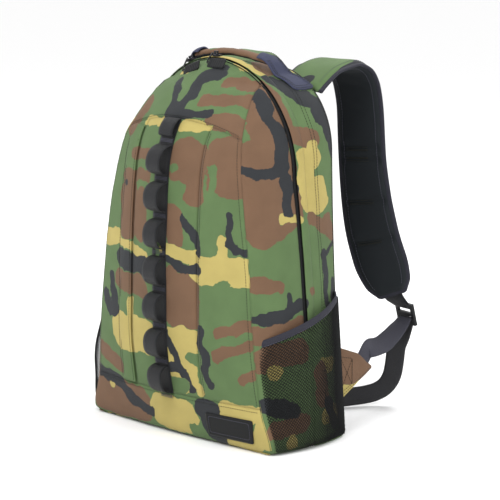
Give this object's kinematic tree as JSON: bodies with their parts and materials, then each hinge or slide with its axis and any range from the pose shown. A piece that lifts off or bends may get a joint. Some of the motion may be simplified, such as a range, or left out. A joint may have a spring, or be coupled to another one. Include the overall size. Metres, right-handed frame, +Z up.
{
  "type": "padded gig backpack",
  "caption": "Padded backpack-style gig bag with a zipped front, shoulder straps, daisy-chain webbing, mesh side pockets and a grab handle for carrying audio gear.",
  "frame": {"origin": "on the floor, midway across the bag, in the plane of the main zip", "axes": "+Z up; -Y towards the front face with the daisy chain; +Y towards the shoulder straps; +X to the right when facing the front"},
  "size_m": [0.35, 0.3664, 0.485],
  "materials": {
    "camo": "matte woven canvas in a four-colour woodland pattern",
    "lining": "plain woven lining",
    "foam": "closed-cell foam",
    "air_mesh": "knitted spacer mesh",
    "board": "stiff sheet",
    "zip_tape": "woven tape with a nylon coil",
    "slider_metal": "satin black",
    "pull_rubber": "moulded, ribbed",
    "webbing": "flat woven webbing",
    "label": "soft moulded patch, plain",
    "net": "open knitted net",
    "binding": "woven binding tape",
    "lock_plastic": "moulded acetal"
  },
  "bodies": {
    "bag": {"rear_gusset": "camo", "base_panel": "camo", "front_band": "camo", "front_panel_lower": "camo", "front_gusset_lower_right": "camo", "front_gusset_lower_left": "camo", "divider_lower": "lining", "zip_tape_rear": "zip_tape", "zip_flap": "camo", "back_panel": "lining", "back_foam": "foam", "back_mesh": "air_mesh", "base_board": "board", "laptop_sleeve": "lining", "daisy_chain_lower": "webbing", "label": "label", "mesh_pocket_right": "net", "mesh_pocket_left": "net", "pocket_binding_right": "binding", "pocket_binding_left": "binding", "handle_tab_right": "binding", "handle_tab_left": "binding", "strap_root_right": "camo", "strap_root_left": "camo", "wing_right": "camo", "wing_left": "camo"},
    "front": {"front_panel": "camo", "front_yoke": "camo", "front_gusset_right": "camo", "front_gusset_left": "camo", "divider_upper": "lining", "zip_tape_front": "zip_tape", "daisy_chain_upper": "webbing"},
    "slider_left": {"slider_left": "slider_metal"},
    "slider_right": {"slider_right": "slider_metal"},
    "pull_left": {"pull_tab_left": "pull_rubber"},
    "pull_right": {"pull_tab_right": "pull_rubber"},
    "handle": {"handle_grip": "camo", "handle_core": "webbing"},
    "strap_right": {"strap_cover_right": "camo", "strap_foam_right": "foam", "strap_mesh_right": "air_mesh", "strap_binding_right": "binding", "strap_tongue_right": "webbing", "lower_webbing_right": "webbing", "webbing_tail_right": "webbing", "ladder_lock_right": "lock_plastic"},
    "strap_left": {"strap_cover_left": "camo", "strap_foam_left": "foam", "strap_mesh_left": "air_mesh", "strap_binding_left": "binding", "strap_tongue_left": "webbing", "lower_webbing_left": "webbing", "webbing_tail_left": "webbing", "ladder_lock_left": "lock_plastic"}
  },
  "joints": [
    {"name": "front_open", "type": "hinge", "parent": "bag", "child": "front", "pos_m": [0, -0.107, 0.19], "axis": [1, 0, 0], "range_deg": [0, 30]},
    {"name": "slider_left_slide", "type": "hinge", "parent": "bag", "child": "slider_left", "pos_m": [0, 0, 0.336], "axis": [0, 1, 0], "range_deg": [-59, 0]},
    {"name": "slider_right_slide", "type": "hinge", "parent": "bag", "child": "slider_right", "pos_m": [0, 0, 0.336], "axis": [0, 1, 0], "range_deg": [0, 86]},
    {"name": "pull_left_swing", "type": "hinge", "parent": "slider_left", "child": "pull_left", "pos_m": [-0.05121, 0, 0.46941], "axis": [0, 1, 0], "range_deg": [0, 100]},
    {"name": "pull_right_swing", "type": "hinge", "parent": "slider_right", "child": "pull_right", "pos_m": [-0.00499, 0, 0.47881], "axis": [0, 1, 0], "range_deg": [0, 100]},
    {"name": "handle_swing", "type": "hinge", "parent": "bag", "child": "handle", "pos_m": [0, 0.024, 0.462], "axis": [1, 0, 0], "range_deg": [-30, 12], "stiffness_Nm_per_rad": 0.06},
    {"name": "strap_right_swing", "type": "hinge", "parent": "bag", "child": "strap_right", "pos_m": [0.075, 0.082, 0.446], "axis": [0.1685, 0.1222, -0.9781], "range_deg": [-8, 30]},
    {"name": "strap_left_swing", "type": "hinge", "parent": "bag", "child": "strap_left", "pos_m": [-0.075, 0.082, 0.446], "axis": [-0.1685, 0.1222, -0.9781], "range_deg": [-30, 8]}
  ]
}
